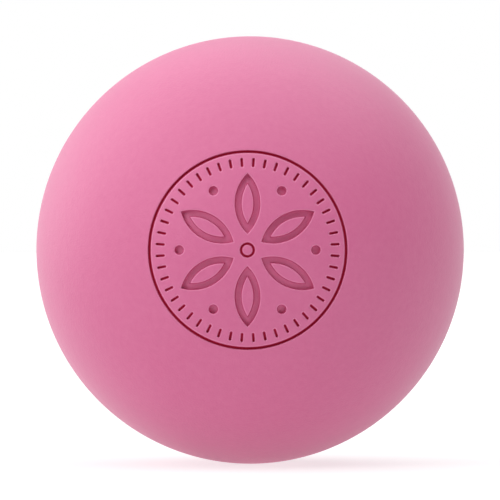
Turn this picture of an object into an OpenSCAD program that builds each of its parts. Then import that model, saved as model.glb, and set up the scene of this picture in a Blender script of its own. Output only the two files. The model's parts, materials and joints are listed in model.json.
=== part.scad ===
// Massage ball: one solid moulding of pink rubber with a round emblem sunk into its front.
// Millimetres. The origin is the centre of the ball, +Z is up and the emblem faces -Y.

/* [Ball] */
// Diameter of the ball
ball_d = 63.5; // [60:0.1:67]
// Width of the mould's parting line, round the middle of the ball
parting_w = 0.6; // [0.4:0.05:1.2]
// Height of the parting line above the ball
parting_h = 0.05; // [0.03:0.01:0.12]

/* [Emblem ring] */
// Diameter of the ring, at the middle of its line
ring_d = 28; // [26:0.5:36]
// Width of the ring's line
ring_w = 0.4; // [0.2:0.05:0.8]
// Depth of the ring's line
ring_depth = 0.5; // [0.2:0.05:1]

/* [Ticks] */
// Number of ticks inside the ring
tick_count = 48; // [24:6:60]
// Length of a tick, end to end
tick_len = 1.3; // [0.8:0.1:1.6]
// Width of a tick
tick_w = 0.36; // [0.2:0.02:0.5]
// Depth of a tick
tick_depth = 0.45; // [0.2:0.05:1]
// Gap between the ring's line and the ticks
tick_gap = 0.7; // [0.4:0.1:1.2]

/* [Rosette] */
// Number of petals round the centre
petal_count = 6; // [4:1:8]
// Length of a petal, tip to tip
petal_len = 8.6; // [6:0.1:9]
// Width of a petal at its middle
petal_w = 3.6; // [2.6:0.1:4.2]
// Width of the sunk band that outlines a petal
petal_band = 0.95; // [0.4:0.05:1.1]
// Depth of a petal's band
petal_depth = 0.9; // [0.2:0.05:1]
// Gap between the ticks and the outer tips of the petals
petal_gap = 0.9; // [0.5:0.1:1.5]

/* [Pits] */
// Diameter of the round pits between the petals
pit_d = 1.3; // [0.6:0.1:1.8]
// Depth of a pit
pit_depth = 0.8; // [0.2:0.05:1]
// Distance of a pit's centre inside the outer tips of the petals
pit_inset = 1.2; // [0.9:0.1:2]

/* [Centre eye] */
// Diameter of the small ring at the centre, at the middle of its line
eye_d = 1.8; // [1.2:0.1:2]
// Width of the small ring's line
eye_w = 0.36; // [0.2:0.02:0.4]
// Depth of the small ring's line
eye_depth = 0.45; // [0.2:0.05:1]

/* [Hidden] */
$fn = 96;

ball_r = ball_d / 2;
ring_r = ring_d / 2;
tick_end_r = ring_r - ring_w / 2 - tick_gap;
petal_tip_r = tick_end_r - tick_len - petal_gap;
petal_mid_r = petal_tip_r - petal_len / 2;
pit_r = petal_tip_r - pit_inset;
eye_r = eye_d / 2;

// A petal lies between two arcs of one radius, whose centres are set off to each side.
petal_arc_r = (petal_len * petal_len + petal_w * petal_w) / (4 * petal_w);
petal_arc_off = petal_arc_r - petal_w / 2;

// The parting line is the crest of a thin hoop that is sunk in the ball.
hoop_r = (parting_w * parting_w / 4 + parting_h * parting_h) / (2 * parting_h);

// How far a cutter stands clear of the surface that it cuts.
clear = 1;

// Flat line of one width, round the centre.
module line_ring(radius, width) {
    difference() {
        circle(r = radius + width / 2);
        circle(r = radius - width / 2);
    }
}

// Copies of a flat shape, turned evenly round the centre.
module turned(count, start = 0) {
    for (i = [0 : count - 1])
        rotate(start + i * 360 / count)
            children();
}

// Flat tick with round ends, which points at the centre.
module tick() {
    straight = tick_len - tick_w;
    translate([0, tick_end_r - tick_len / 2]) {
        square([tick_w, straight], center = true);
        for (end = [-1, 1])
            translate([0, end * straight / 2])
                circle(d = tick_w);
    }
}

// Flat leaf between the petal's two arcs, drawn in by an inset.
module leaf(inset) {
    intersection() {
        translate([-petal_arc_off, 0])
            circle(r = petal_arc_r - inset);
        translate([petal_arc_off, 0])
            circle(r = petal_arc_r - inset);
    }
}

// Flat band round the edge of one petal.
module petal() {
    translate([0, petal_mid_r])
        difference() {
            leaf(0);
            leaf(petal_band);
        }
}

// Flat shape sunk into the front of the ball, with a floor that follows the ball.
module sunk(depth) {
    intersection() {
        rotate([90, 0, 0])
            linear_extrude(height = ball_r + clear)
                children();
        difference() {
            sphere(r = ball_r + clear);
            sphere(r = ball_r - depth);
        }
    }
}

// Thin raised line that the mould's two halves leave round the middle.
module parting_line() {
    rotate([90, 0, 0])
        rotate_extrude()
            translate([ball_r + parting_h - hoop_r, 0])
                circle(r = hoop_r);
}

// The whole ball, solid right through.
module rubber_ball() {
    color("#DA6C99")
        difference() {
            union() {
                sphere(r = ball_r);
                parting_line();
            }
            sunk(ring_depth)
                line_ring(ring_r, ring_w);
            sunk(tick_depth)
                turned(tick_count, 180 / tick_count)
                    tick();
            sunk(petal_depth)
                turned(petal_count)
                    petal();
            sunk(pit_depth)
                turned(petal_count, 180 / petal_count)
                    translate([0, pit_r])
                        circle(d = pit_d);
            sunk(eye_depth)
                line_ring(eye_r, eye_w);
        }
}

rubber_ball();
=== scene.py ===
"""Rubber massage ball: the moulded ball with its sunk emblem, and the studio that it is shown in."""
import json
import math

import bpy
from bpy.props import FloatProperty, FloatVectorProperty, IntProperty, PointerProperty
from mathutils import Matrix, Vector
from mathutils.geometry import delaunay_2d_cdt
from mathutils.kdtree import KDTree


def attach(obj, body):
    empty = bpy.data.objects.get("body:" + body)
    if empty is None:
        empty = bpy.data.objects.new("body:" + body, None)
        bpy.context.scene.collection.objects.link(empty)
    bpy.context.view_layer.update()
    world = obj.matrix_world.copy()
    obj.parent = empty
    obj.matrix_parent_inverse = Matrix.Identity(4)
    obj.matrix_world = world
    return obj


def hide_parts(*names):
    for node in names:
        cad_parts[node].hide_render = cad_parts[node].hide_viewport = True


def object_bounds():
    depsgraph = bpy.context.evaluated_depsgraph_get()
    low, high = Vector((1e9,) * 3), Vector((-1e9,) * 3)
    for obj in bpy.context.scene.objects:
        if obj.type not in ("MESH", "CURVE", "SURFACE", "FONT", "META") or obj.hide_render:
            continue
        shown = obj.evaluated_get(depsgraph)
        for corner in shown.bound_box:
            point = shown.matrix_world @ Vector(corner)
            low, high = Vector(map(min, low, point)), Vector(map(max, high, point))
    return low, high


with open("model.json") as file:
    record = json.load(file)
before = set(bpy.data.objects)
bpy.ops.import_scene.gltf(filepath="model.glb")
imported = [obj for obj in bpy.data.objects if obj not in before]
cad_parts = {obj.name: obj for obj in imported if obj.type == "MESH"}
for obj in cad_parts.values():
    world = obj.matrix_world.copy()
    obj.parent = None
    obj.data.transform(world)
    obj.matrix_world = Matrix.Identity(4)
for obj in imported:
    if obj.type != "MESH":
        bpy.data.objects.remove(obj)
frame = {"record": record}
CAD_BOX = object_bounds()

bl_info = {
    "name": "Rubber massage ball",
    "version": (1, 0, 0),
    "blender": (4, 5, 0),
    "location": "View3D > Sidebar > Massage Ball",
    "description": "Moulds a rubber massage ball with a sunk emblem and sets up its studio",
    "category": "Add Mesh",
}

MM = 0.001
BALL_NODE = "rubber_ball"

# The seat under the ball gives the ball's radius, and the box's lowest point is what it stands on.
BALL_RADIUS = frame["record"]["mounts"][0]["dims"]["r_mm"] * MM
FLOOR_HEIGHT = CAD_BOX[0][2]

# Rows of faces on the plain ball: in front of the parting line, across it and behind it.
FRONT_ROWS = 48
LINE_ROWS = 14
BACK_ROWS = 72
# Faces in each row, all the way round.
COLUMNS = 240
# How far the rows across the parting line reach from its middle, as a share of its width.
LINE_REACH = 0.6

# Points that lie closer together than this are one point, on the flat sector and on the whole ball.
FLAT_WELD = 1e-7
BALL_WELD = 5 * FLAT_WELD

# The floor runs so far to each side, in metres, that its edge can't be told from the horizon.
FLOOR_HALF = 40.0

# The side of the ball that each light shines from, and how broad the light is.
LIGHTS = {
    "key_light": (Vector((-0.64, -0.64, 0.42)), math.radians(30)),
    "side_light": (Vector((-0.91, 0.33, 0.26)), math.radians(60)),
    "top_light": (Vector((0, 0, 1)), math.radians(100)),
}
WHITE = (1, 1, 1, 1)


class EmblemSizes(bpy.types.PropertyGroup):
    """Sizes of the marks that are sunk into the front of the ball."""

    ring_diameter: FloatProperty(
        name="Ring diameter", description="Ring at the middle of its line", default=28 * MM, unit="LENGTH")
    ring_width: FloatProperty(
        name="Ring width", description="Width of the ring's line", default=0.4 * MM, unit="LENGTH")
    ring_depth: FloatProperty(
        name="Ring depth", description="Depth of the ring's line", default=0.5 * MM, unit="LENGTH")
    tick_count: IntProperty(
        name="Ticks", description="Number of ticks, a whole number to each petal", default=48, min=6)
    tick_length: FloatProperty(
        name="Tick length", description="Length of a tick, end to end", default=1.3 * MM, unit="LENGTH")
    tick_width: FloatProperty(
        name="Tick width", description="Width of a tick", default=0.36 * MM, unit="LENGTH")
    tick_depth: FloatProperty(
        name="Tick depth", description="Depth of a tick", default=0.45 * MM, unit="LENGTH")
    tick_gap: FloatProperty(
        name="Tick gap", description="Gap between the ring's line and the ticks", default=0.7 * MM,
        unit="LENGTH")
    petal_count: IntProperty(
        name="Petals", description="Number of petals round the centre", default=6, min=4)
    petal_length: FloatProperty(
        name="Petal length", description="Length of a petal, tip to tip", default=8.6 * MM, unit="LENGTH")
    petal_width: FloatProperty(
        name="Petal width", description="Width of a petal at its middle", default=3.6 * MM, unit="LENGTH")
    petal_band: FloatProperty(
        name="Petal band", description="Width of the sunk band that outlines a petal", default=0.95 * MM,
        unit="LENGTH")
    petal_depth: FloatProperty(
        name="Petal depth", description="Depth of a petal's band", default=0.9 * MM, unit="LENGTH")
    petal_gap: FloatProperty(
        name="Petal gap", description="Gap between the ticks and the petals", default=0.9 * MM,
        unit="LENGTH")
    pit_diameter: FloatProperty(
        name="Pit diameter", description="Round pits between the petals", default=1.3 * MM, unit="LENGTH")
    pit_depth: FloatProperty(
        name="Pit depth", description="Depth of a pit", default=0.8 * MM, unit="LENGTH")
    pit_inset: FloatProperty(
        name="Pit inset", description="From the petals' outer tips in to the pits", default=1.2 * MM,
        unit="LENGTH")
    eye_diameter: FloatProperty(
        name="Eye diameter", description="Small ring at the centre", default=1.8 * MM, unit="LENGTH")
    eye_width: FloatProperty(
        name="Eye width", description="Width of the small ring's line", default=0.36 * MM, unit="LENGTH")
    eye_depth: FloatProperty(
        name="Eye depth", description="Depth of the small ring's line", default=0.45 * MM, unit="LENGTH")


class MouldSizes(bpy.types.PropertyGroup):
    """Sizes that the mould leaves on the ball."""

    edge_round: FloatProperty(
        name="Edge rounding", description="Radius along the top edge of a mark", default=0.2 * MM,
        unit="LENGTH")
    foot_round: FloatProperty(
        name="Foot rounding", description="Radius at the foot of a mark's wall", default=0.05 * MM,
        unit="LENGTH")
    wall_lean: FloatProperty(
        name="Wall lean", description="How far a wall leans in from top to foot", default=0.08 * MM,
        unit="LENGTH")
    line_width: FloatProperty(
        name="Parting line width", description="Width of the mould's parting line", default=0.6 * MM,
        unit="LENGTH")
    line_height: FloatProperty(
        name="Parting line height", description="Height of the parting line", default=0.05 * MM,
        unit="LENGTH")
    border: FloatProperty(
        name="Border", description="Plain margin between the ring and the rows of the ball", default=2 * MM,
        unit="LENGTH")
    spacing: FloatProperty(
        name="Mesh spacing", description="Distance between points on the emblem's plain ground",
        default=0.7 * MM, unit="LENGTH")


class RubberFinish(bpy.types.PropertyGroup):
    """Colours and surface of the moulded rubber, with the colours of its painted shade and painted
    highlight.
    """

    pink: FloatVectorProperty(
        name="Pink", description="Colour of the rubber", default=(0.70, 0.116, 0.297), size=3,
        subtype="COLOR", min=0, max=1)
    pale: FloatVectorProperty(
        name="Pale pink", description="Colour where the pigment is thinner", default=(0.78, 0.189, 0.377),
        size=3, subtype="COLOR", min=0, max=1)
    # Painted shade: the colour that darkens the marks' walls and floors where they are closed in, and the
    # narrow marks all over.
    painted_shade_red: FloatVectorProperty(
        name="Deep red", description="Colour down in the narrow marks", default=(0.45, 0.014, 0.045),
        size=3, subtype="COLOR", min=0, max=1)
    # Painted highlight: this pale colour is painted along the round top edges of the marks, where they
    # catch the light, and along the parting line's crest.
    bloom_and_highlight: FloatVectorProperty(
        name="Bloom", description="Pale film on the outside of the rubber", default=(1.0, 0.42, 0.66),
        size=3, subtype="COLOR", min=0, max=1)
    roughness: FloatProperty(
        name="Roughness", description="Roughness of the rubber", default=0.5, min=0, max=1,
        subtype="FACTOR")
    dullness: FloatProperty(
        name="Dullness", description="How much rougher the rubber is down in the marks", default=0.3,
        min=0, max=1, subtype="FACTOR")
    refraction: FloatProperty(
        name="Refraction", description="Index of refraction of the rubber", default=1.55, min=1)
    sheen: FloatProperty(
        name="Sheen", description="Strength of the bloom's soft sheen", default=0.2, min=0, max=1,
        subtype="FACTOR")
    sheen_roughness: FloatProperty(
        name="Sheen roughness", description="How widely the sheen spreads", default=0.5, min=0, max=1,
        subtype="FACTOR")
    # How strongly the painted highlight pales the edges.
    edge_highlight: FloatProperty(
        name="Wear", description="How much of the bloom's colour shows along worn edges", default=0.3,
        min=0, max=1, subtype="FACTOR")
    grain_size: FloatProperty(
        name="Grain size", description="Size of the mould's fine grain", default=0.3 * MM, unit="LENGTH")
    grain_height: FloatProperty(
        name="Grain height", description="Height of the mould's fine grain", default=0.055 * MM,
        unit="LENGTH")
    ripple_size: FloatProperty(
        name="Ripple size", description="Size of the low ripples under the grain", default=2.5 * MM,
        unit="LENGTH")
    ripple_height: FloatProperty(
        name="Ripple height", description="Height of the low ripples", default=0.044 * MM, unit="LENGTH")


class StudioSettings(bpy.types.PropertyGroup):
    """Camera, lights and floor."""

    camera_distance: FloatProperty(
        name="Camera distance", description="From the camera to the middle of the ball", default=0.653,
        unit="LENGTH")
    camera_turn: FloatProperty(
        name="Camera turn", description="How far the camera stands to the right of the emblem's axis",
        default=math.radians(0.66), subtype="ANGLE")
    outline_share: FloatProperty(
        name="Outline share", description="Share of the picture that the ball's outline fills",
        default=427.3 / 500, min=0, max=1, subtype="FACTOR")
    key_light: FloatProperty(
        name="Key light", description="Strength of the light from the front left", default=0.66)
    side_light: FloatProperty(
        name="Side light", description="Strength of the light from the left, a little behind", default=1.13)
    top_light: FloatProperty(
        name="Top light", description="Strength of the light from above", default=2.40)
    room_light: FloatProperty(
        name="Room light", description="Strength of the light from all round", default=0.06)
    floor_white: FloatProperty(
        name="Floor white", description="Share of the light that the floor throws back up", default=0.5,
        min=0, max=1, subtype="FACTOR")
    floor_glow: FloatProperty(
        name="Floor glow", description="Light of its own that the floor gives to the ball", default=0.40)
    floor_shade: FloatProperty(
        name="Floor shade", description="How much of the ball's shadow shows on the white floor",
        default=0.45, min=0, max=1, subtype="FACTOR")
    floor_lift: FloatProperty(
        name="Floor lift", description="How far the floor is lifted towards white where the camera sees it",
        default=0.7, min=0, max=1, subtype="FACTOR")


class Wire:
    """One node output that can stand in arithmetic: each operation adds a Math node to its tree."""

    def __init__(self, nodes, socket):
        self.nodes = nodes
        self.socket = socket

    def math(self, operation, *values):
        return self.nodes.add("ShaderNodeMath", {"operation": operation}, dict(enumerate(values)))

    def __add__(self, other):
        return self.math("ADD", self, other)

    def __radd__(self, other):
        return self.math("ADD", other, self)

    def __sub__(self, other):
        return self.math("SUBTRACT", self, other)

    def __rsub__(self, other):
        return self.math("SUBTRACT", other, self)

    def __mul__(self, other):
        return self.math("MULTIPLY", self, other)

    def __rmul__(self, other):
        return self.math("MULTIPLY", other, self)

    def __truediv__(self, other):
        return self.math("DIVIDE", self, other)

    def __neg__(self):
        return self.math("MULTIPLY", self, -1.0)

    def sine(self):
        return self.math("SINE", self)

    def cosine(self):
        return self.math("COSINE", self)

    def arcsine(self):
        return self.math("ARCSINE", self)

    def root(self):
        return self.math("SQRT", self)

    def at_least(self, low):
        return self.math("MAXIMUM", self, low)

    def above(self, low):
        return self.math("GREATER_THAN", self, low)


class Nodes:
    """A node tree that is being built."""

    def __init__(self, tree):
        self.tree = tree
        tree.nodes.clear()

    def add(self, kind, settings=None, sockets=None, output=0):
        """Adds a node with its settings, then its socket values or links, and gives back one output.

        A list of wires goes into one socket that takes many.
        """
        node = self.tree.nodes.new(kind)
        for name, value in (settings or {}).items():
            setattr(node, name, value)
        for key, value in (sockets or {}).items():
            wires = value if isinstance(value, list) else [value]
            if isinstance(wires[0], Wire):
                for wire in wires:
                    self.tree.links.new(wire.socket, node.inputs[key])
            else:
                node.inputs[key].default_value = value
        return Wire(self, node.outputs[output]) if node.outputs else None

    def mix_colour(self, share, first, second):
        """A colour between two. The Mix node has sockets for each kind of data, so they go by number."""
        colours = {0: share, 6: first, 7: second}
        return self.add("ShaderNodeMix", {"data_type": "RGBA"}, colours, output=2)

    def noise(self, where, size, detail=2.0):
        """Noise from 0 to 1 whose features are about one size across, with finer detail in them."""
        return self.add("ShaderNodeTexNoise", None, {"Vector": where, "Scale": 1 / size, "Detail": detail})

    def seen(self):
        """1 for what the camera sees, straight or in a reflection, and 0 for light on its way elsewhere."""
        rays = [self.add("ShaderNodeLightPath", None, None, name)
                for name in ("Is Camera Ray", "Is Glossy Ray", "Is Transmission Ray")]
        return rays[0].at_least(rays[1]).at_least(rays[2])


def opaque(colour):
    """A colour property with full alpha, as node sockets take it."""
    return (*colour, 1.0)


class MouldedRubber:
    """What all the rubber shares: pigment with a painted highlight that pales it along the edges, roughness
    and a fine surface.
    """

    # How large the clouds and the specks in the pigment are.
    CLOUD_SIZE = 14 * MM
    SPECK_SIZE = 0.9 * MM
    # How much the clouds and the specks change the pigment, and how much they change the roughness.
    CLOUD_PIGMENT = 0.45
    SPECK_PIGMENT = 0.55
    CLOUD_ROUGHNESS = 0.12
    SPECK_ROUGHNESS = 0.08
    # What the noise is on average.
    NOISE_MIDDLE = 0.5

    def __init__(self, name, finish):
        self.material = bpy.data.materials.new(name)
        self.material.use_nodes = True
        self.nodes = Nodes(self.material.node_tree)
        where = self.nodes.add("ShaderNodeTexCoord", output="Object")
        clouds = self.nodes.noise(where, self.CLOUD_SIZE, detail=3.0)
        specks = self.nodes.noise(where, self.SPECK_SIZE)
        grain = self.nodes.noise(where, finish.grain_size)
        ripple = self.nodes.noise(where, finish.ripple_size, detail=1.0)
        paleness = clouds * self.CLOUD_PIGMENT + specks * self.SPECK_PIGMENT
        pigment = self.nodes.mix_colour(paleness, opaque(finish.pink), opaque(finish.pale))
        # Painted highlight along the round top edges of the marks and the parting line's crest.
        highlighted = self.painted("rim") * finish.edge_highlight
        self.colour = self.nodes.mix_colour(highlighted, pigment, opaque(finish.bloom_and_highlight))
        cloudy = (clouds - self.NOISE_MIDDLE) * self.CLOUD_ROUGHNESS
        speckled = (specks - self.NOISE_MIDDLE) * self.SPECK_ROUGHNESS
        self.roughness = finish.roughness + cloudy + speckled
        # The height is in metres, so the bump takes it as it is.
        height = grain * finish.grain_height + ripple * finish.ripple_height
        bump = {"Strength": 1.0, "Distance": 1.0, "Height": height}
        self.surface = self.nodes.add("ShaderNodeBump", None, bump)

    def painted(self, attribute):
        """A number that the ball's mesh carries at each point."""
        return self.nodes.add("ShaderNodeAttribute", {"attribute_name": attribute}, output="Fac")

    def finish_with(self, **sockets):
        """Ends the material in one shader with these values and links."""
        shader = self.nodes.add("ShaderNodeBsdfPrincipled", None, {"Normal": self.surface, **sockets})
        self.nodes.add("ShaderNodeOutputMaterial", None, {"Surface": shader})
        return self.material


def skin_material(finish):
    """The outside of the ball: matte pink rubber under a thin pale bloom, which gives it a soft sheen."""
    rubber = MouldedRubber("rubber_skin", finish)
    return rubber.finish_with(**{
        "Base Color": rubber.colour,
        "Roughness": rubber.roughness,
        "IOR": finish.refraction,
        "Sheen Weight": finish.sheen,
        "Sheen Roughness": finish.sheen_roughness,
    })


def sunk_material(finish):
    """The rubber down in the marks: dull, with no bloom on it, and darkened with painted shade, deep red in
    the narrow ones.
    """
    rubber = MouldedRubber("sunk_rubber", finish)
    # Painted shade: the colour darkens towards deep red where the mark is closed in.
    colour = rubber.nodes.mix_colour(rubber.painted("cavity"), rubber.colour, opaque(finish.painted_shade_red))
    return rubber.finish_with(**{
        "Base Color": colour,
        "Roughness": rubber.roughness + finish.dullness,
        "Specular IOR Level": 0.0,
    })


class WallProfile:
    """The section through a mark's wall: a round top edge, a leaning wall and a round foot."""

    # Steps round the top edge and round the foot.
    EDGE_STEPS = 5
    FOOT_STEPS = 2
    # Marks up to this width get the full painted shade, deep red all over, and wider ones get less of it.
    NARROW = 0.6 * MM
    # How far the painted shade spreads over the floor from the foot of a wall.
    FADE = 0.16 * MM
    # How much painted shade the top of a wall gets, as a share of what its foot gets.
    TOP_SHADE = 0.4
    # The share of the round top edge, next to the wall, that is steep enough to look like the wall.
    STEEP = 0.2
    # A point within this share of a rounding from its end lies past it.
    MARGIN = 0.01

    def __init__(self, mould):
        self.edge = mould.edge_round
        self.foot = mould.foot_round
        self.lean = mould.wall_lean
        self.floor = self.lean + self.foot

    def insets(self):
        """How far inside the mark's edge each row of points along the wall lies."""
        edge_turns = [math.pi / 2 * step / self.EDGE_STEPS for step in range(self.EDGE_STEPS + 1)]
        foot_turns = [math.pi / 2 * step / self.FOOT_STEPS for step in range(self.FOOT_STEPS + 1)]
        top = [self.edge * (math.sin(turn) - 1) for turn in edge_turns]
        return top + [self.lean + self.foot * (1 - math.cos(turn)) for turn in foot_turns]

    def sink(self, inset, depth):
        """Depth below the ball's surface at an inset."""
        if inset <= -self.edge:
            return 0.0
        if inset <= 0:
            return self.edge - math.sqrt(self.edge ** 2 - (inset + self.edge) ** 2)
        if inset <= self.lean:
            return self.edge + (depth - self.foot - self.edge) * inset / self.lean
        if inset <= self.floor:
            return depth - self.foot + math.sqrt(self.foot ** 2 - (self.floor - inset) ** 2)
        return depth

    def is_wall(self, inset):
        """True from the start of the round top edge to the end of the round foot."""
        return -self.edge * (1 - self.MARGIN) < inset < self.floor - self.foot * self.MARGIN

    def is_sunk(self, inset, width):
        """True from the steep part of the top edge to the foot, and all over a narrow mark's floor."""
        on_wall = -self.edge * self.STEEP < inset < self.floor - self.foot * self.MARGIN
        return on_wall or (inset > 0 and width <= self.NARROW)

    def rim(self, inset):
        """Share of painted highlight: 1 in the middle of the round top edge and 0 off it."""
        if not -self.edge < inset < 0:
            return 0.0
        return math.sin(2 * math.asin((inset + self.edge) / self.edge))

    def cavity(self, inset, width):
        """How much painted shade darkens a point, more where it is closed in: 1 at the foot of a narrow
        mark's wall, and 0 outside the mark.
        """
        if inset <= 0:
            return 0.0
        narrow = min(1.0, (self.NARROW / width) ** 2)
        if inset <= self.floor:
            return narrow * (self.TOP_SHADE + (1 - self.TOP_SHADE) * inset / self.floor)
        near = inset - self.floor
        far = width - 2 * self.floor - near
        return narrow * min(1.0, math.exp(-near / self.FADE) + math.exp(-far / self.FADE))


def turned(point, turn):
    """A flat point turned round the centre, anticlockwise as the emblem is looked at."""
    sine, cosine = math.sin(turn), math.cos(turn)
    return (point[0] * cosine - point[1] * sine, point[0] * sine + point[1] * cosine)


def arc(centre, radius, start, end, steps):
    """Flat points along an arc, whose turns are counted from straight up, anticlockwise."""
    points = []
    for step in range(steps + 1):
        x, y = turned((0, radius), start + (end - start) * step / steps)
        points.append((centre[0] + x, centre[1] + y))
    return points


class Mark:
    """A shape sunk into the ball.

    Its inset at a point is how far inside the mark's edge the point lies, and its loops are the
    closed lines of one inset.
    """

    def __init__(self, width, depth):
        self.width = width
        self.depth = depth

    def floor_loops(self):
        """Closed lines that divide a wide floor. A narrow one needs none."""
        return []


class RingMark(Mark):
    """A sunk line round the centre of the emblem."""

    def __init__(self, radius, width, depth, steps):
        super().__init__(width, depth)
        self.radius = radius
        self.steps = steps

    def inset(self, x, y):
        return self.width / 2 - abs(math.hypot(x, y) - self.radius)

    def radii(self, inset):
        """The two radii at which the line has this inset."""
        half = self.width / 2 - inset
        return self.radius - half, self.radius + half


class TickMark(Mark):
    """A short sunk line with round ends, which points at the centre."""

    END_STEPS = 8

    def __init__(self, turn, end_radius, length, width, depth):
        super().__init__(width, depth)
        self.turn = turn
        self.outer = end_radius - width / 2
        self.inner = end_radius - length + width / 2

    def inset(self, x, y):
        x, y = turned((x, y), -self.turn)
        beyond = max(y - self.outer, self.inner - y, 0)
        return self.width / 2 - math.hypot(x, beyond)

    def loops(self, inset):
        half = self.width / 2 - inset
        quarter = math.pi / 2
        outer = arc((0, self.outer), half, -quarter, quarter, self.END_STEPS)
        inner = arc((0, self.inner), half, quarter, 3 * quarter, self.END_STEPS)
        return [[turned(point, self.turn) for point in outer + inner]]


class PetalMark(Mark):
    """A leaf between two arcs, outlined by a sunk band."""

    SIDE_STEPS = 28

    def __init__(self, middle, length, width, band, depth):
        super().__init__(band, depth)
        self.middle = middle
        self.radius = (length ** 2 + width ** 2) / (4 * width)
        self.offset = self.radius - width / 2

    def reach(self, x, y):
        """The radius at which the leaf's arcs would pass through a point."""
        return math.hypot(abs(x) + self.offset, y - self.middle)

    def inset(self, x, y):
        return self.width / 2 - abs(self.reach(x, y) - (self.radius - self.width / 2))

    def leaf(self, radius):
        """A closed line along two arcs of this radius, from tip to tip and back."""
        half_turn = math.acos(self.offset / radius)
        start = -math.pi / 2 - half_turn
        side = arc((-self.offset, self.middle), radius, start, start + 2 * half_turn, self.SIDE_STEPS)
        return side + [(-x, y) for x, y in reversed(side[1:-1])]

    def loops(self, inset):
        return [self.leaf(self.radius - inset), self.leaf(self.radius - self.width + inset)]

    def floor_loops(self):
        return [self.leaf(self.radius - self.width / 2)]


class PitMark(Mark):
    """A small round pit."""

    STEPS = 32
    # Radius of the circle that divides the pit's floor, as a share of the pit's diameter.
    FLOOR_SHARE = 0.2

    def __init__(self, turn, radius, diameter, depth):
        super().__init__(diameter, depth)
        self.centre = turned((0, radius), turn)

    def inset(self, x, y):
        return self.width / 2 - math.hypot(x - self.centre[0], y - self.centre[1])

    def loops(self, inset):
        return [arc(self.centre, self.width / 2 - inset, 0, 2 * math.pi, self.STEPS)[:-1]]

    def floor_loops(self):
        return [arc(self.centre, self.width * self.FLOOR_SHARE, 0, 2 * math.pi, self.STEPS // 2)[:-1]]


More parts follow.
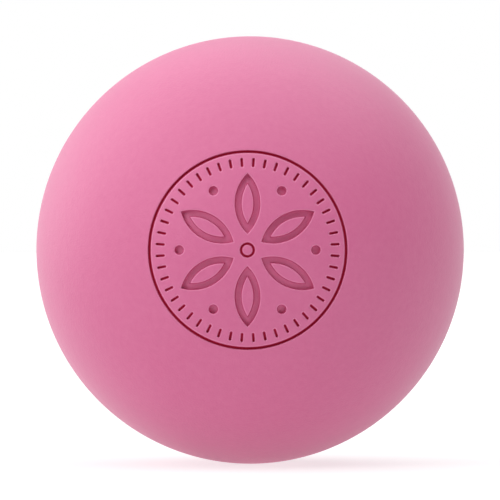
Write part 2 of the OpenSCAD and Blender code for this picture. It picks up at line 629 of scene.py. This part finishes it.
class FlatSector:
    """One petal's share of the emblem, laid flat: its marks, and points and edges for the mesh to keep."""

    # The seam between two sectors runs between a petal and a pit, this share of a sector from the petal.
    SEAM_SHARE = 3 / 8
    # The eye is small, so it has one step to this many of the ring's.
    EYE_STEP = 4
    # Points on the plain ground stay this share of their spacing clear of the drawn lines.
    CLEARANCE = 0.45
    # Has the triangulation keep only what lies inside the sector's outline.
    INSIDE = 1

    def __init__(self, emblem, mould):
        if emblem.tick_count % emblem.petal_count or COLUMNS % emblem.petal_count:
            raise ValueError("the ticks and the columns have to be a whole number to each petal")
        self.mould = mould
        self.wall = WallProfile(mould)
        self.angle = 2 * math.pi / emblem.petal_count
        self.end = self.SEAM_SHARE * self.angle
        self.start = self.end - self.angle
        self.border = emblem.ring_diameter / 2 + mould.border
        self.points = []
        self.edges = []
        self.make_marks(emblem)
        self.draw()

    def make_marks(self, emblem):
        ring = emblem.ring_diameter / 2
        tick_end = ring - emblem.ring_width / 2 - emblem.tick_gap
        petal_tip = tick_end - emblem.tick_length - emblem.petal_gap
        pitch = 2 * math.pi / emblem.tick_count
        self.steps = COLUMNS // emblem.petal_count
        self.rings = [
            RingMark(ring, emblem.ring_width, emblem.ring_depth, self.steps),
            RingMark(
                emblem.eye_diameter / 2, emblem.eye_width, emblem.eye_depth, self.steps // self.EYE_STEP),
        ]
        first_tick = self.start + pitch / 2
        tick_sizes = (tick_end, emblem.tick_length, emblem.tick_width, emblem.tick_depth)
        self.marks = [
            TickMark(first_tick + i * pitch, *tick_sizes)
            for i in range(emblem.tick_count // emblem.petal_count)
        ]
        self.marks.append(PetalMark(
            petal_tip - emblem.petal_length / 2, emblem.petal_length, emblem.petal_width,
            emblem.petal_band, emblem.petal_depth))
        self.marks.append(PitMark(
            -self.angle / 2, petal_tip - emblem.pit_inset, emblem.pit_diameter, emblem.pit_depth))

    def add_path(self, points, closed):
        """Adds points along a line, and the edges between them."""
        first = len(self.points)
        count = len(points)
        self.points.extend(points)
        self.edges.extend((first + i, first + i + 1) for i in range(count - 1))
        if closed:
            self.edges.append((first + count - 1, first))

    def draw(self):
        """Draws each mark once for every row of points along its wall, then the border and the seams."""
        seam_radii = {0.0, self.border}
        for inset in self.wall.insets():
            for ring in self.rings:
                for radius in ring.radii(inset):
                    self.add_path(arc((0, 0), radius, self.start, self.end, ring.steps), False)
                    seam_radii.add(radius)
            for mark in self.marks:
                for loop in mark.loops(inset):
                    self.add_path(loop, True)
        for mark in self.marks:
            for loop in mark.floor_loops():
                self.add_path(loop, True)
        self.add_path(arc((0, 0), self.border, self.start, self.end, self.steps), False)
        self.draw_seams(sorted(seam_radii))
        self.fill_ground()

    def draw_seams(self, radii):
        """Draws the sector's two straight sides, with a point wherever a ring crosses them."""
        filled = [radii[0]]
        for low, high in zip(radii, radii[1:]):
            parts = max(1, round((high - low) / self.mould.spacing))
            filled.extend(low + (high - low) * (part + 1) / parts for part in range(parts))
        for turn in (self.start, self.end):
            self.add_path([turned((0, radius), turn) for radius in filled], False)

    def fill_ground(self):
        """Adds points on an even lattice wherever the drawn lines leave room."""
        near = KDTree(len(self.points))
        for index, (x, y) in enumerate(self.points):
            near.insert((x, y, 0), index)
        near.balance()
        spacing = self.mould.spacing
        row_height = spacing * math.sqrt(3) / 2
        rows = int(self.border / row_height)
        clear = spacing * self.CLEARANCE
        middle_turn = (self.start + self.end) / 2
        for row in range(1, rows):
            y = row * row_height
            half = math.tan(self.angle / 2) * y
            count = int(half / spacing)
            for column in range(-count, count + 1):
                x = (column + row % 2 / 2) * spacing
                point = turned((x, y), middle_turn)
                inside = abs(x) < half - clear and math.hypot(x, y) < self.border - clear
                if inside and near.find((*point, 0))[2] > clear:
                    self.points.append(point)

    def deepest(self, x, y):
        """The largest inset that any mark has at a flat point, and that mark."""
        marks = self.rings + self.marks
        return max(((mark.inset(x, y), mark) for mark in marks), key=lambda pair: pair[0])

    def to_mesh(self, name, radius):
        """The sector wrapped onto the ball, with its marks sunk along the mould's opening direction."""
        flat, _, faces, *_ = delaunay_2d_cdt(
            [Vector(point) for point in self.points], self.edges, [], self.INSIDE, FLAT_WELD)
        # Each point also carries how much painted shade and painted highlight it gets.
        places, cavity, rim, wall, sunk = [], [], [], [], []
        for x, y in flat:
            inset, mark = self.deepest(x, y)
            reach = radius - self.wall.sink(inset, mark.depth)
            places.append((x, -math.sqrt(reach ** 2 - x ** 2 - y ** 2), y))
            cavity.append(self.wall.cavity(inset, mark.width))
            rim.append(self.wall.rim(inset))
            wall.append(float(self.wall.is_wall(inset)))
            sunk.append(float(self.wall.is_sunk(inset, mark.width)))
        mesh = bpy.data.meshes.new(name)
        mesh.from_pydata(places, [], faces)
        for label, values in (("cavity", cavity), ("rim", rim), ("wall", wall), ("sunk", sunk)):
            mesh.attributes.new(label, "FLOAT", "POINT").data.foreach_set("value", values)
        return mesh


class BallTree:
    """Geometry Nodes that turn one sector into the whole emblem and carry the ball on round to the back."""

    INPUTS = (
        ("Sectors", "NodeSocketInt"),
        ("Ball radius", "NodeSocketFloat"),
        ("Border radius", "NodeSocketFloat"),
        ("Columns", "NodeSocketInt"),
        ("Line width", "NodeSocketFloat"),
        ("Line height", "NodeSocketFloat"),
        ("Skin", "NodeSocketMaterial"),
        ("Sunk rubber", "NodeSocketMaterial"),
    )

    # A face has the mean of its corners' values, so above this all of them are sunk.
    ALL_SUNK = 0.99

    def __init__(self):
        self.tree = bpy.data.node_groups.new("moulded_ball", "GeometryNodeTree")
        self.nodes = Nodes(self.tree)
        face = self.tree.interface
        face.new_socket("Geometry", in_out="INPUT", socket_type="NodeSocketGeometry")
        self.names = {}
        for name, kind in self.INPUTS:
            self.names[name] = face.new_socket(name, in_out="INPUT", socket_type=kind).identifier
        face.new_socket("Geometry", in_out="OUTPUT", socket_type="NodeSocketGeometry")
        self.build()

    def given(self, name):
        return self.nodes.add("NodeGroupInput", output=name)

    def build(self):
        add = self.nodes.add
        radius = self.given("Ball radius")
        line_half = self.given("Line width") * LINE_REACH / radius
        front = (self.given("Border radius") / radius).arcsine()
        zones = [
            self.zone(front, math.pi / 2 - line_half, FRONT_ROWS),
            self.zone(math.pi / 2 - line_half, math.pi / 2 + line_half, LINE_ROWS),
            self.zone(math.pi / 2 + line_half, math.pi, BACK_ROWS),
        ]
        joined = add("GeometryNodeJoinGeometry", None, {"Geometry": [self.emblem()] + zones})
        realized = add("GeometryNodeRealizeInstances", None, {"Geometry": joined})
        welded = add("GeometryNodeMergeByDistance", None, {"Geometry": realized, "Distance": BALL_WELD})
        smooth = add("GeometryNodeSetShadeSmooth", None, {"Geometry": welded})
        skinned = add("GeometryNodeSetMaterial", None, {"Geometry": smooth, "Material": self.given("Skin")})
        sunk = add("GeometryNodeInputNamedAttribute", None, {"Name": "sunk"})
        finished = add("GeometryNodeSetMaterial", None, {
            "Geometry": skinned,
            "Selection": sunk.above(self.ALL_SUNK),
            "Material": self.given("Sunk rubber"),
        })
        add("NodeGroupOutput", None, {"Geometry": finished})

    def emblem(self):
        """The sector, turned round the emblem's axis as often as there are petals."""
        add = self.nodes.add
        count = self.given("Sectors")
        spots = add("GeometryNodePoints", None, {"Count": count})
        turn = add("GeometryNodeInputIndex") * (2 * math.pi) / count
        spin = add("ShaderNodeCombineXYZ", None, {"Y": turn})
        rotation = add("FunctionNodeEulerToRotation", None, {"Euler": spin})
        return add("GeometryNodeInstanceOnPoints", None, {
            "Points": spots,
            "Instance": self.given("Geometry"),
            "Rotation": rotation,
        })

    def zone(self, start, end, rows):
        """Rows of faces round the ball, between two angles from the emblem's axis: a unit grid, bent."""
        add = self.nodes.add
        grid = add("GeometryNodeMeshGrid", None, {
            "Size X": 1.0,
            "Size Y": 1.0,
            "Vertices X": self.given("Columns") + 1,
            "Vertices Y": rows + 1,
        })
        place = add("GeometryNodeInputPosition")
        across = add("ShaderNodeSeparateXYZ", None, {0: place}, "X") + 0.5
        along = add("ShaderNodeSeparateXYZ", None, {0: place}, "Y") + 0.5
        turn = across * (2 * math.pi)
        polar = start + along * (end - start)
        radius = self.surface_radius(polar)
        girth = radius * polar.sine()
        position = add("ShaderNodeCombineXYZ", None, {
            "X": girth * turn.sine(),
            "Y": -(radius * polar.cosine()),
            "Z": girth * turn.cosine(),
        })
        # The crest of the parting line gets the same pale painted highlight as the edges of the marks.
        crest = (radius - self.given("Ball radius")) / self.given("Line height")
        highlighted = add("GeometryNodeStoreNamedAttribute", {"data_type": "FLOAT", "domain": "POINT"}, {
            "Geometry": grid,
            "Name": "rim",
            "Value": crest,
        })
        return add("GeometryNodeSetPosition", None, {"Geometry": highlighted, "Position": position})

    def surface_radius(self, polar):
        """The ball's radius, or that of the hoop whose crest is the parting line, whichever is larger."""
        radius = self.given("Ball radius")
        width = self.given("Line width")
        height = self.given("Line height")
        hoop = (width * width / 4 + height * height) / (2 * height)
        hoop_centre = radius + height - hoop
        rise = hoop_centre * polar.cosine()
        crest = hoop_centre * polar.sine() + (hoop * hoop - rise * rise).at_least(0).root()
        return crest.at_least(radius)


def smooth_ground(mesh, line_half):
    """Gives the plain ground and the floors of the marks a round ball's normals. Walls keep their own."""
    wall = mesh.attributes["wall"].data
    normals = []
    for vertex in mesh.vertices:
        on_wall = wall[vertex.index].value >= 0.5
        on_line = abs(vertex.co.y) < line_half
        normals.append(Vector((0, 0, 0)) if on_wall or on_line else vertex.co.normalized())
    mesh.normals_split_custom_set_from_vertices(normals)


class MouldBall(bpy.types.Operator):
    """Mould the rubber ball with its sunk emblem and its parting line"""

    bl_idname = "massage_ball.mould_ball"
    bl_label = "Mould the ball"

    def execute(self, context):
        emblem = context.scene.ball_emblem
        mould = context.scene.ball_mould
        sector = FlatSector(emblem, mould)
        ball = bpy.data.objects.new("moulded_ball", sector.to_mesh("moulded_ball", BALL_RADIUS))
        context.scene.collection.objects.link(ball)
        tree = BallTree()
        modifier = ball.modifiers.new("moulded_ball", "NODES")
        modifier.node_group = tree.tree
        sizes = {
            "Sectors": emblem.petal_count,
            "Ball radius": BALL_RADIUS,
            "Border radius": sector.border,
            "Columns": COLUMNS,
            "Line width": mould.line_width,
            "Line height": mould.line_height,
            "Skin": skin_material(context.scene.ball_finish),
            "Sunk rubber": sunk_material(context.scene.ball_finish),
        }
        for name, value in sizes.items():
            modifier[tree.names[name]] = value
        depsgraph = context.evaluated_depsgraph_get()
        moulded = bpy.data.meshes.new_from_object(ball.evaluated_get(depsgraph), depsgraph=depsgraph)
        ball.modifiers.clear()
        # The tree leaves its own empty slot in front of the rubber.
        moulded.materials.pop(index=0)
        ball.data = moulded
        smooth_ground(moulded, mould.line_width * LINE_REACH)
        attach(ball, "root")
        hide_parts(BALL_NODE)
        return {"FINISHED"}


def glowing(nodes, white, glow):
    """A matte grey or white that also gives light of its own."""
    lit = nodes.add("ShaderNodeBsdfDiffuse", None, {"Color": opaque((white,) * 3)})
    light = nodes.add("ShaderNodeEmission", None, {"Color": WHITE, "Strength": glow})
    return nodes.add("ShaderNodeAddShader", None, {0: lit, 1: light})


def floor_material(studio):
    """A white floor. The camera sees it lifted to the white of the room, with part of the ball's shadow."""
    material = bpy.data.materials.new("studio_floor")
    material.use_nodes = True
    nodes = Nodes(material.node_tree)
    hidden = glowing(nodes, studio.floor_white, studio.floor_glow)
    shown = glowing(nodes, studio.floor_shade, studio.floor_lift)
    mixed = nodes.add("ShaderNodeMixShader", None, {0: nodes.seen(), 1: hidden, 2: shown})
    nodes.add("ShaderNodeOutputMaterial", None, {"Surface": mixed})
    return material


def lay_floor(scene, studio):
    mesh = bpy.data.meshes.new("studio_floor")
    corners = [(-1, -1), (1, -1), (1, 1), (-1, 1)]
    places = [(x * FLOOR_HALF, y * FLOOR_HALF, FLOOR_HEIGHT) for x, y in corners]
    mesh.from_pydata(places, [], [(0, 1, 2, 3)])
    mesh.materials.append(floor_material(studio))
    floor = bpy.data.objects.new("studio_floor", mesh)
    scene.collection.objects.link(floor)


def light_room(scene, studio):
    """Even light from all round, with white behind everything that the camera sees."""
    world = bpy.data.worlds.new("studio_room")
    world.use_nodes = True
    nodes = Nodes(world.node_tree)
    hidden = nodes.add("ShaderNodeBackground", None, {"Color": WHITE, "Strength": studio.room_light})
    shown = nodes.add("ShaderNodeBackground", None, {"Color": WHITE, "Strength": 1.0})
    mixed = nodes.add("ShaderNodeMixShader", None, {0: nodes.seen(), 1: hidden, 2: shown})
    nodes.add("ShaderNodeOutputWorld", None, {"Surface": mixed})
    scene.world = world


def hang_light(scene, name, strength, side, breadth):
    """A soft light as far off as the sky, which shines from one side of the ball."""
    light = bpy.data.lights.new(name, "SUN")
    light.energy = strength
    light.angle = breadth
    lamp = bpy.data.objects.new(name, light)
    lamp.rotation_euler = side.to_track_quat("Z", "Y").to_euler()
    scene.collection.objects.link(lamp)


def place_camera(scene, studio):
    camera = bpy.data.cameras.new("photo_camera")
    camera.sensor_fit = "HORIZONTAL"
    outline_tangent = math.tan(math.asin(BALL_RADIUS / studio.camera_distance))
    camera.angle = 2 * math.atan(outline_tangent / studio.outline_share)
    eye = bpy.data.objects.new("photo_camera", camera)
    aim = Vector((math.sin(studio.camera_turn), -math.cos(studio.camera_turn), 0))
    eye.location = aim * studio.camera_distance
    eye.rotation_euler = aim.to_track_quat("Z", "Y").to_euler()
    scene.collection.objects.link(eye)
    scene.camera = eye


class SetStudio(bpy.types.Operator):
    """Lay the floor, light the ball and place the camera as in the photograph"""

    bl_idname = "massage_ball.set_studio"
    bl_label = "Set the studio"

    def execute(self, context):
        scene = context.scene
        studio = scene.ball_studio
        scene.view_settings.view_transform = "Standard"
        lay_floor(scene, studio)
        light_room(scene, studio)
        for name, (side, breadth) in LIGHTS.items():
            hang_light(scene, name, getattr(studio, name), side, breadth)
        place_camera(scene, studio)
        return {"FINISHED"}


class BallPanel(bpy.types.Panel):
    """Sizes, colours and steps of the massage ball"""

    bl_idname = "VIEW3D_PT_massage_ball"
    bl_label = "Massage Ball"
    bl_space_type = "VIEW_3D"
    bl_region_type = "UI"
    bl_category = "Massage Ball"

    def draw(self, context):
        for name in SETTINGS:
            box = self.layout.box()
            group = getattr(context.scene, name)
            for label in group.bl_rna.properties.keys():
                if label not in ("rna_type", "name"):
                    box.prop(group, label)
        for step in STEPS:
            self.layout.operator(step.bl_idname)


SETTINGS = {
    "ball_emblem": EmblemSizes,
    "ball_mould": MouldSizes,
    "ball_finish": RubberFinish,
    "ball_studio": StudioSettings,
}
STEPS = (MouldBall, SetStudio)
CLASSES = (*SETTINGS.values(), *STEPS, BallPanel)


def register():
    for item in CLASSES:
        bpy.utils.register_class(item)
    for name, group in SETTINGS.items():
        setattr(bpy.types.Scene, name, PointerProperty(type=group))


def unregister():
    for name in SETTINGS:
        delattr(bpy.types.Scene, name)
    for item in reversed(CLASSES):
        bpy.utils.unregister_class(item)


def main():
    register()
    bpy.ops.massage_ball.mould_ball()
    bpy.ops.massage_ball.set_studio()


if __name__ == "__main__":
    main()
